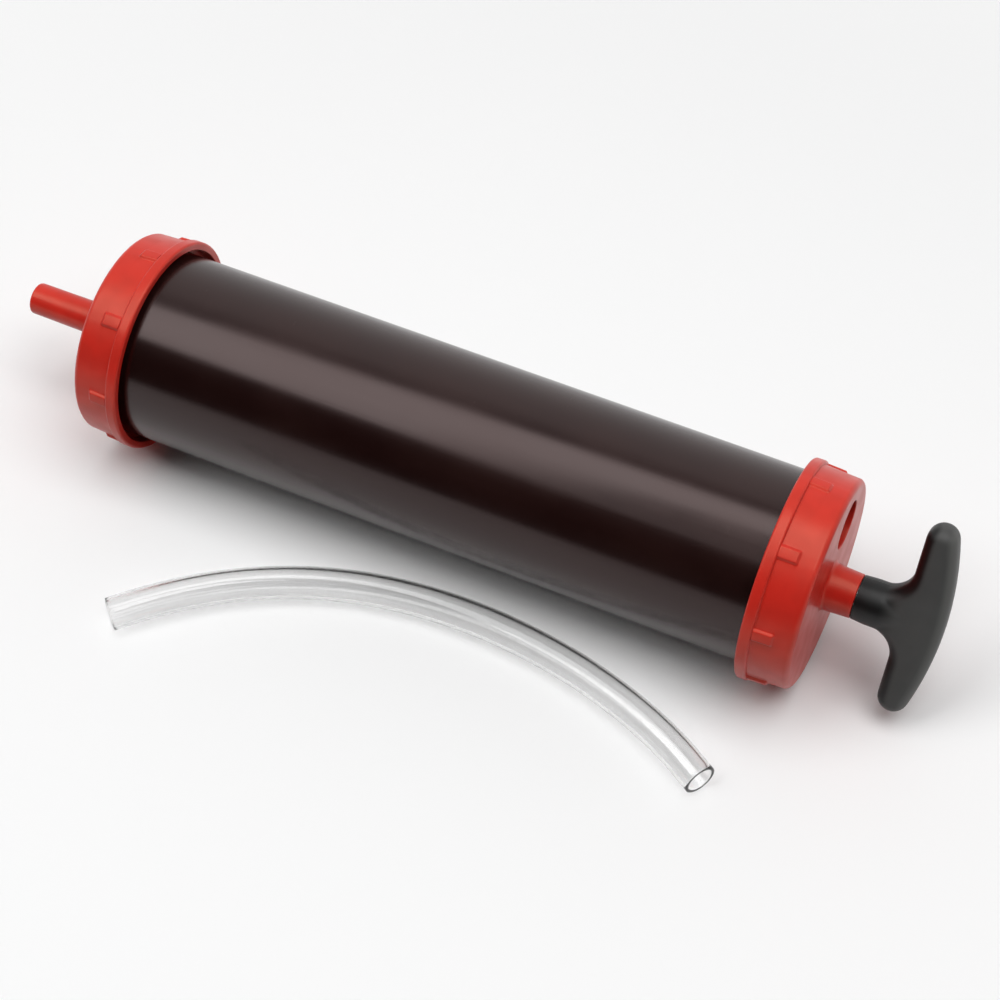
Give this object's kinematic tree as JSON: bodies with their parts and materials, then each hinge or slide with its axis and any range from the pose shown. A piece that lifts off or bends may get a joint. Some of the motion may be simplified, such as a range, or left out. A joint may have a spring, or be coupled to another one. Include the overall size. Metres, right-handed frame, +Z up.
{
  "type": "suction and filling syringe",
  "caption": "Large hand syringe with a dark barrel, red screw caps, a hose spigot, a black T-handle on its plunger and a loose piece of clear hose.",
  "frame": {"origin": "middle of the syringe's footprint, on the ground that its cap flanges rest on", "axes": "+X along the barrel from the spigot to the handle, +Z up, -Y towards the loose hose"},
  "size_m": [0.383, 0.1496, 0.0859],
  "materials": {
    "dark_tube": "satin extruded plastic, dark brown-black",
    "red_plastic": "satin injection moulding",
    "seal_rubber": "matt nitrile rubber",
    "piston_plastic": "natural nylon",
    "plated_steel": "bright zinc plate",
    "black_plastic": "fine matt moulding",
    "clear_hose": "clear soft PVC"
  },
  "bodies": {
    "barrel": {"barrel": "dark_tube", "front_cap": "red_plastic", "front_gasket": "seal_rubber", "rear_cap": "red_plastic"},
    "piston": {"piston": "piston_plastic", "o_ring_front": "seal_rubber", "o_ring_rear": "seal_rubber"},
    "plunger": {"plunger_rod": "plated_steel", "washer_front": "plated_steel", "washer_rear": "plated_steel", "piston_nut": "plated_steel", "handle": "black_plastic"},
    "hose": {"hose": "clear_hose"}
  },
  "joints": [
    {"name": "plunger_slide", "type": "slide", "parent": "barrel", "child": "piston", "axis": [1, 0, 0], "range_m": [0, 0.253]},
    {"name": "plunger_turn", "type": "hinge", "parent": "piston", "child": "plunger", "pos_m": [0.1583, 0, 0.04295], "axis": [1, 0, 0], "continuous": true},
    {"name": "hose_lift", "type": "slide", "parent": "barrel", "child": "hose", "axis": [0, 0, 1], "range_m": [0, 0.12]}
  ]
}
